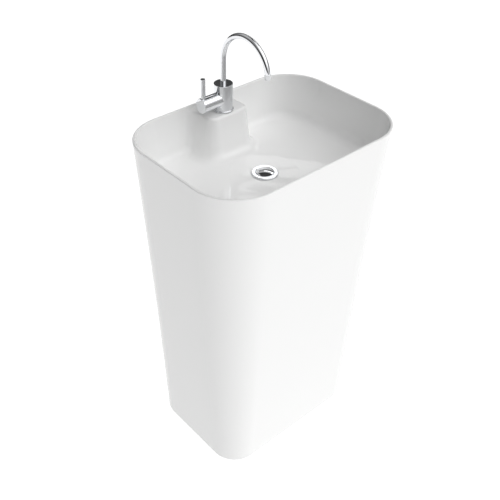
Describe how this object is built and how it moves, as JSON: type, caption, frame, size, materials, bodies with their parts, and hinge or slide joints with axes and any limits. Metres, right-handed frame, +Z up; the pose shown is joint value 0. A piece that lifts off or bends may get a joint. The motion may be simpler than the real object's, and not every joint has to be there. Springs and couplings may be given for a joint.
{
  "type": "pedestal handwash sink",
  "caption": "Free-standing tapered pedestal handwash sink with a deck-mounted swan-neck lever mixer, pop-up waste, trap, supply valves and rear service panel.",
  "frame": {"origin": "on the floor under the middle of the pedestal", "axes": "+Z up, -Y towards the user, +X to the right of a user facing the tap"},
  "size_m": [0.5498, 0.3998, 1.0777],
  "materials": {
    "gloss_white": "high-gloss gel-coated cast mineral composite",
    "frame_white": "as moulded",
    "chrome": "polished chromium plate",
    "stainless": "machined stainless steel",
    "galvanised": "zinc-plated sheet",
    "brass": "turned brass",
    "copper": "drawn copper tube",
    "black_rubber": "moulded rubber",
    "grey_plastic": "moulded acetal",
    "white_plastic": "moulded polypropylene",
    "grey_board": "foamed PVC board",
    "ceramic": "ground alumina ceramic",
    "red_lever": "enamelled steel",
    "blue_lever": "enamelled steel"
  },
  "bodies": {
    "pedestal": {"pedestal_shell": "gloss_white", "basin_bowl": "gloss_white", "opening_frame": "frame_white", "panel_inserts": "brass", "base_plate": "grey_board", "pipe_stand": "galvanised", "stand_screws": "stainless", "pipe_clips": "white_plastic", "tap_body": "chrome", "tap_base_ring": "chrome", "tap_gasket": "black_rubber", "tap_stud": "brass", "clamp_gasket": "black_rubber", "clamp_plate": "galvanised", "clamp_nut": "brass", "cartridge_housing": "grey_plastic", "ceramic_disc_fixed": "ceramic", "cartridge_nut": "brass", "spout_grub_screw": "stainless", "waste_body": "chrome", "waste_seal": "black_rubber", "waste_under_washer": "black_rubber", "waste_back_nut": "brass", "waste_spider": "brass", "plug_click_housing": "brass", "trap_union_nut": "white_plastic", "trap_inlet_tube": "white_plastic", "trap_body": "white_plastic", "trap_top_nut": "white_plastic", "trap_cup": "white_plastic", "trap_outlet_nut": "white_plastic", "drain_pipe": "white_plastic", "tail_nuts": "brass", "supply_pipes": "copper", "inlet_adapters": "brass", "hot_tail": "copper", "cold_tail": "copper", "hot_valve_body": "brass", "cold_valve_body": "brass"},
    "spout": {"spout_tube": "chrome", "spout_nipple": "chrome", "spout_o_rings": "black_rubber", "aerator_housing": "chrome", "aerator_insert": "white_plastic"},
    "mixing_rotor": {"cartridge_rotor": "grey_plastic", "rotor_pin": "stainless", "ceramic_disc_moving": "ceramic"},
    "lever": {"lever_stem": "brass", "lever_handle": "chrome", "lever_pin": "chrome", "handle_grub_screw": "stainless"},
    "plug": {"plug_dome": "chrome", "plug_seal": "black_rubber", "plug_stem": "stainless"},
    "hot_valve": {"hot_valve_ball": "stainless", "hot_valve_lever": "red_lever"},
    "cold_valve": {"cold_valve_ball": "stainless", "cold_valve_lever": "blue_lever"},
    "service_panel": {"access_panel": "gloss_white", "panel_screws": "stainless"}
  },
  "joints": [
    {"name": "spout_swivel", "type": "hinge", "parent": "pedestal", "child": "spout", "pos_m": [0, 0.144, 0.937], "axis": [0, 0, 1], "range_deg": [-60, 60]},
    {"name": "lever_turn", "type": "hinge", "parent": "pedestal", "child": "mixing_rotor", "pos_m": [-0.03, 0.144, 0.901], "axis": [1, 0, 0], "range_deg": [-45, 45]},
    {"name": "lever_tilt", "type": "hinge", "parent": "mixing_rotor", "child": "lever", "pos_m": [-0.03, 0.144, 0.901], "axis": [0, -1, 0], "range_deg": [0, 18]},
    {"name": "plug_lift", "type": "slide", "parent": "pedestal", "child": "plug", "axis": [0, 0, 1], "range_m": [0, 0.008]},
    {"name": "hot_valve_turn", "type": "hinge", "parent": "pedestal", "child": "hot_valve", "pos_m": [-0.06, 0.12, 0.445], "axis": [0, 1, 0], "range_deg": [0, 90]},
    {"name": "cold_valve_turn", "type": "hinge", "parent": "pedestal", "child": "cold_valve", "pos_m": [0.06, 0.12, 0.445], "axis": [0, -1, 0], "range_deg": [0, 90]},
    {"name": "panel_lift_off", "type": "slide", "parent": "pedestal", "child": "service_panel", "axis": [0, 0.9991, -0.0419], "range_m": [0, 0.12]}
  ]
}
